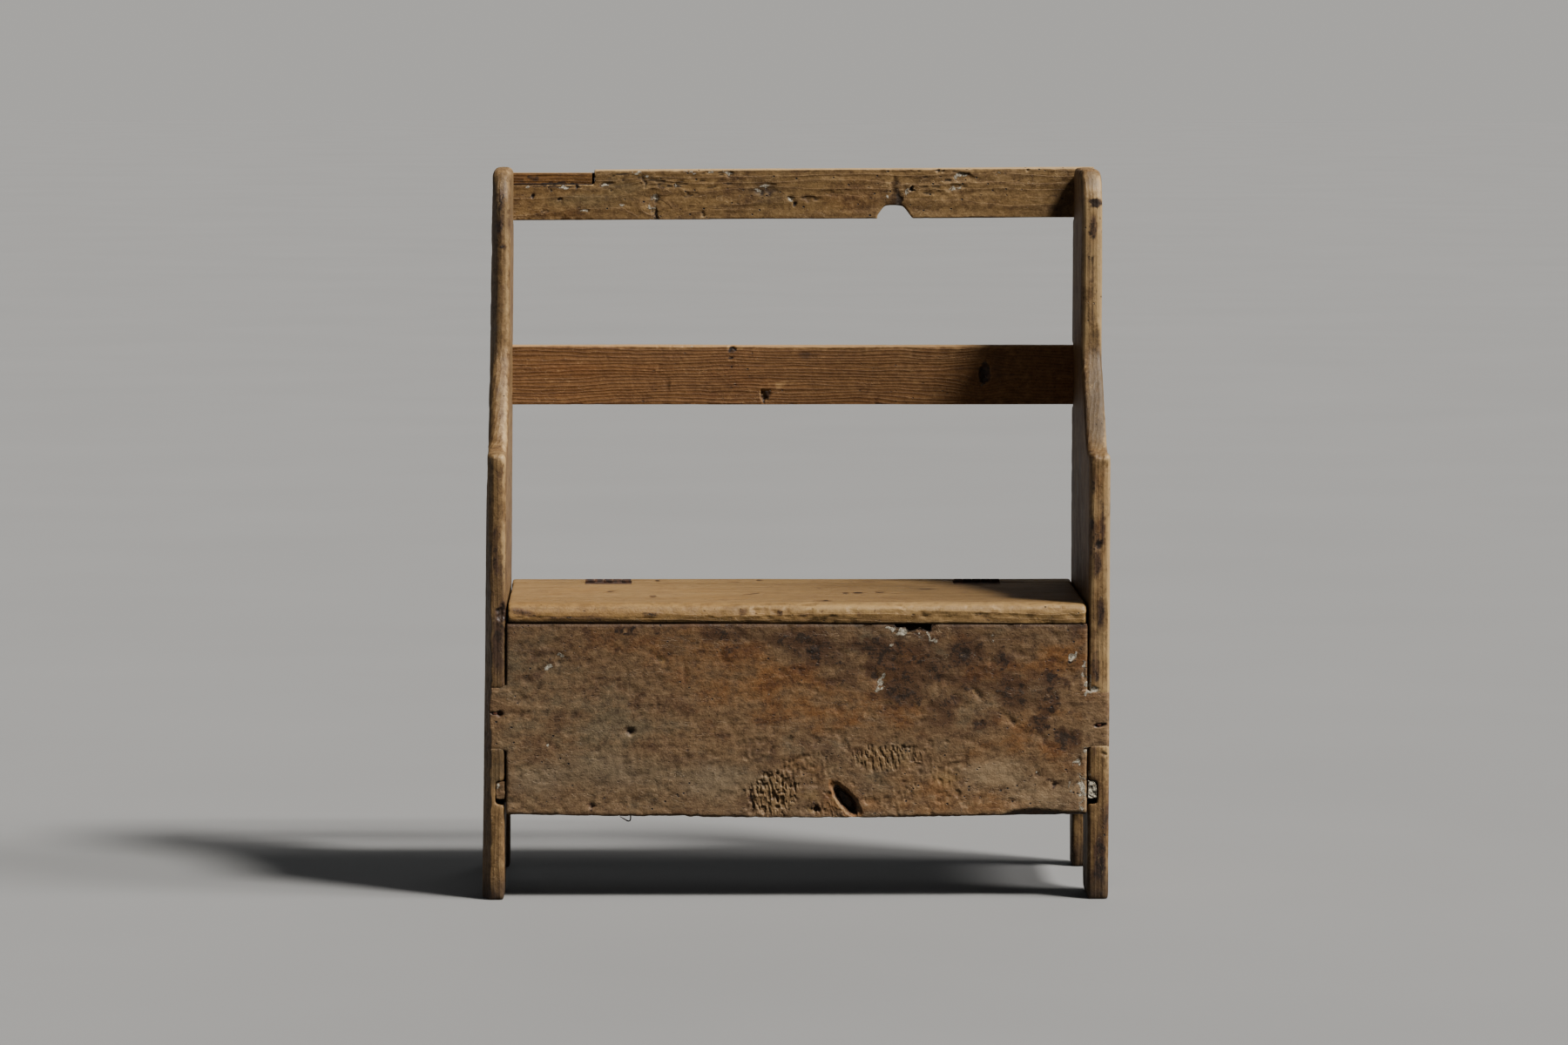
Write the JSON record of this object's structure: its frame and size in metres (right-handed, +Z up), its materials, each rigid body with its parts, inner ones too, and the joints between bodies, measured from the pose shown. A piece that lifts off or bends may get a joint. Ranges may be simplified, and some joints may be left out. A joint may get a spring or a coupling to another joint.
{
  "type": "bench",
  "caption": "Rustic box-seat bench of nailed planks: plank sides with sawn arms and feet, back rails, and a hinged seat lid over a chest.",
  "frame": {"origin": "on the floor, under the middle of the bench's box", "axes": "+Z up, -Y to the front of the seat, +X to the right as seen from the front"},
  "size_m": [0.865, 0.38, 1],
  "materials": {
    "side_wood": "worn bare wood, stained",
    "rail_wood": "worn bare wood",
    "patch_wood": "bare wood",
    "seat_wood": "worn bare wood",
    "box_wood": "worn bare wood, stained",
    "filler_wood": "bare wood with plaster",
    "hinge_iron": "rusted",
    "nail_iron": "rusted"
  },
  "bodies": {
    "frame": {"left_side": "side_wood", "right_side": "side_wood", "top_rail": "rail_wood", "top_rail_patch": "patch_wood", "middle_rail": "rail_wood", "seat_back_strip": "seat_wood", "front_board": "box_wood", "back_board": "box_wood", "floor_board": "box_wood", "left_slot_filler": "filler_wood", "right_slot_filler": "filler_wood", "left_hinge_strip_leaf": "hinge_iron", "left_hinge_pin": "hinge_iron", "left_hinge_strip_screws": "hinge_iron", "right_hinge_strip_leaf": "hinge_iron", "right_hinge_pin": "hinge_iron", "right_hinge_strip_screws": "hinge_iron", "front_board_nails": "nail_iron", "top_rail_nails": "nail_iron", "middle_rail_nails": "nail_iron", "back_board_nails": "nail_iron", "floor_board_nails": "nail_iron", "seat_strip_nails": "nail_iron", "patch_brads": "nail_iron", "bent_nail": "nail_iron"},
    "lid": {"seat_lid": "seat_wood", "left_hinge_lid_leaf": "hinge_iron", "left_hinge_lid_screws": "hinge_iron", "right_hinge_lid_leaf": "hinge_iron", "right_hinge_lid_screws": "hinge_iron"}
  },
  "joints": [
    {"name": "lid_hinge", "type": "hinge", "parent": "frame", "child": "lid", "pos_m": [0, 0.135, 0.4114], "axis": [-1, 0, 0], "range_deg": [0, 96]}
  ]
}
